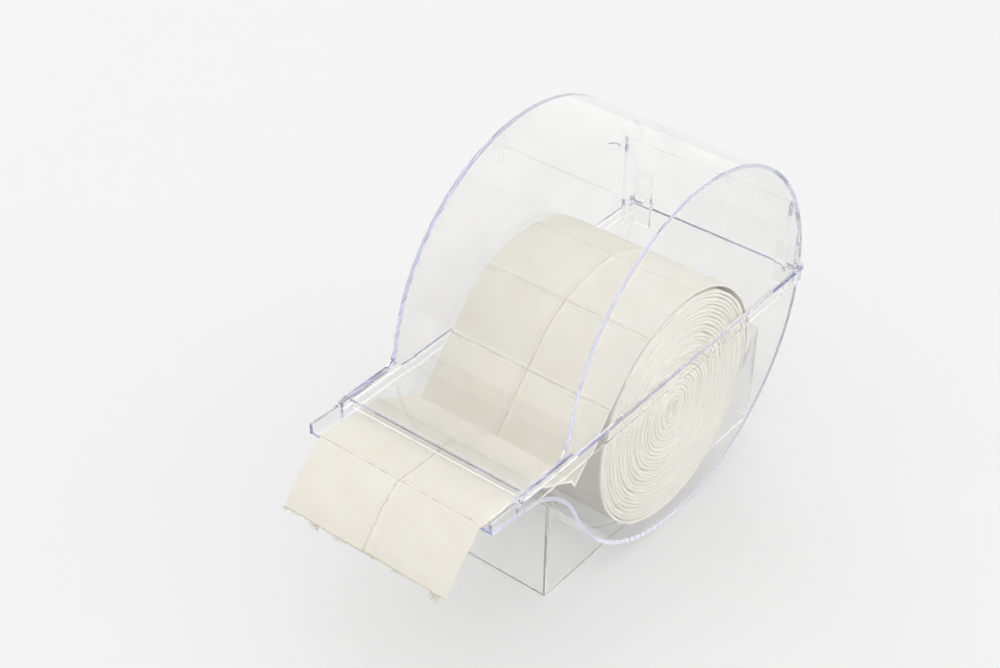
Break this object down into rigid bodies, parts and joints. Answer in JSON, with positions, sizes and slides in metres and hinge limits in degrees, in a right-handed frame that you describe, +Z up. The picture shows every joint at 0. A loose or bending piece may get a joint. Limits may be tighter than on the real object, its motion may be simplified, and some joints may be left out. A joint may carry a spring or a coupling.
{
  "type": "cellulose swab dispenser",
  "caption": "Clear drum-shaped table dispenser with a hinged hood, tray nose with tear lip and open foot, holding a perforated two-lane roll of cellulose swabs.",
  "frame": {"origin": "on the table, under the middle of the whole object's box", "axes": "+Z up, -Y towards the nose where the paper comes out, +X to the right of someone who looks along +Y at the nose"},
  "size_m": [0.1182, 0.3078, 0.216],
  "materials": {
    "clear_plastic": "polished",
    "pin_plastic": "gloss",
    "cellulose": "matte"
  },
  "bodies": {
    "base": {"base_shell": "clear_plastic", "foot_stand": "clear_plastic", "hinge_pin_left": "pin_plastic", "hinge_pin_right": "pin_plastic", "swab_web": "cellulose", "lead_swab_left": "cellulose", "lead_swab_right": "cellulose"},
    "lid": {"lid_hood": "clear_plastic"},
    "roll": {"swab_roll": "cellulose"}
  },
  "joints": [
    {"name": "lid_hinge", "type": "hinge", "parent": "base", "child": "lid", "pos_m": [0, 0.15086, 0.1112], "axis": [-1, 0, 0], "range_deg": [0, 100]},
    {"name": "roll_turn", "type": "hinge", "parent": "base", "child": "roll", "pos_m": [0, 0.04273, 0.07376], "axis": [1, 0, 0], "continuous": true}
  ]
}
